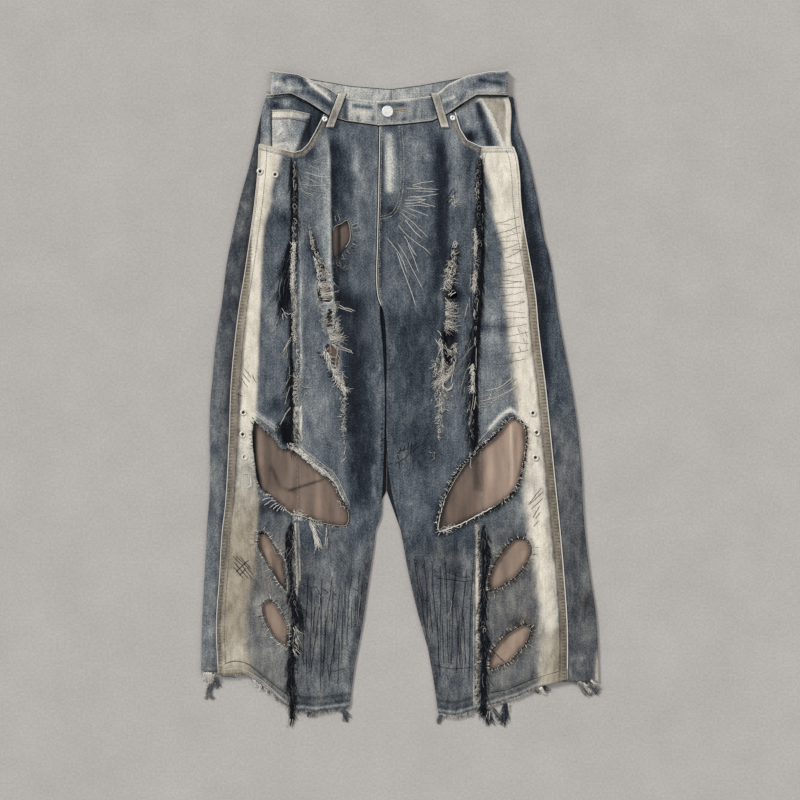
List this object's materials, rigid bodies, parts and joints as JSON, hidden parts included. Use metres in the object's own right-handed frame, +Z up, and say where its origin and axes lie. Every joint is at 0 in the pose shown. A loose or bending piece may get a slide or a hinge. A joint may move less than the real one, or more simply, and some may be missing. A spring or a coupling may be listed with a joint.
{
  "type": "ripped jeans",
  "caption": "Wide straight ripped jeans laid flat face up, with frayed front seams, torn knees over a satin lining, and rivets.",
  "frame": {"origin": "on the surface it lies on, under the middle of the garment's outline", "axes": "+Y from the hems to the waist, +Z up out of the front of the garment, +X to the right of someone looking down on it"},
  "size_m": [0.6358, 1.0498, 0.0146],
  "materials": {
    "washed_denim": "matte twill, stone washed grey blue",
    "bleached_denim": "matte twill, bleached to cream and tinted tan",
    "lining_satin": "soft satin, taupe",
    "cotton_thread": "raw cotton threads, off white",
    "button_metal": "plain silver",
    "eyelet_metal": "dull rolled steel"
  },
  "bodies": {
    "root": {"back_left": "washed_denim", "back_right": "washed_denim", "belt_loop_left": "washed_denim", "belt_loop_right": "washed_denim", "button": "button_metal", "coin_pocket": "washed_denim", "eyelet_1": "eyelet_metal", "eyelet_2": "eyelet_metal", "eyelet_3": "eyelet_metal", "eyelet_4": "eyelet_metal", "eyelet_5": "eyelet_metal", "eyelet_6": "eyelet_metal", "eyelet_7": "eyelet_metal", "eyelet_8": "eyelet_metal", "fray_lower_left": "cotton_thread", "fray_lower_right": "cotton_thread", "fray_upper_left": "cotton_thread", "fray_upper_right": "cotton_thread", "front_inner_left": "washed_denim", "front_inner_right": "washed_denim", "front_outer_left": "bleached_denim", "front_outer_right": "bleached_denim", "hem_shred_back_left": "cotton_thread", "hem_shred_back_right": "cotton_thread", "hem_shred_inner_left": "cotton_thread", "hem_shred_inner_right": "cotton_thread", "lining_knee_left": "lining_satin", "lining_knee_right": "lining_satin", "lining_shin_left": "lining_satin", "lining_shin_right": "lining_satin", "lining_thigh_left": "lining_satin", "pocket_facing_left": "washed_denim", "pocket_facing_right": "washed_denim", "rivet_left": "button_metal", "rivet_right": "button_metal", "waistband_left": "washed_denim", "waistband_right": "washed_denim"}
  },
  "joints": []
}
